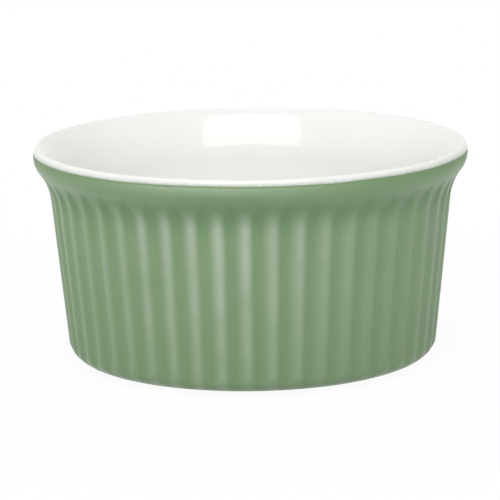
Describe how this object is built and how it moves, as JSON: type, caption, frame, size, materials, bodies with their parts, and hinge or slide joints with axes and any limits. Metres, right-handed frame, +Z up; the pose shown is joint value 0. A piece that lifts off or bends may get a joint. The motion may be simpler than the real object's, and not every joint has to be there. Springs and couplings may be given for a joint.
{
  "type": "ramekin",
  "caption": "Round fluted ceramic ramekin with a flared smooth rim, white glazed inside and green glazed outside, for baking and serving single portions.",
  "frame": {"origin": "on the resting plane, at the axis of the cup", "axes": "+Z up along the axis of the cup, out of its mouth; +X and +Y each through the middle of a ridge between two flutes"},
  "size_m": [0.09, 0.09, 0.0453],
  "materials": {
    "clay": "bare fired clay, matt, only seen on the foot ring",
    "green_glaze": "sage green glaze, satin",
    "white_glaze": "white glaze, glossy"
  },
  "bodies": {
    "root": {"stoneware_body": "clay", "outer_glaze": "green_glaze", "inner_glaze": "white_glaze", "underside_glaze": "green_glaze"}
  },
  "joints": []
}
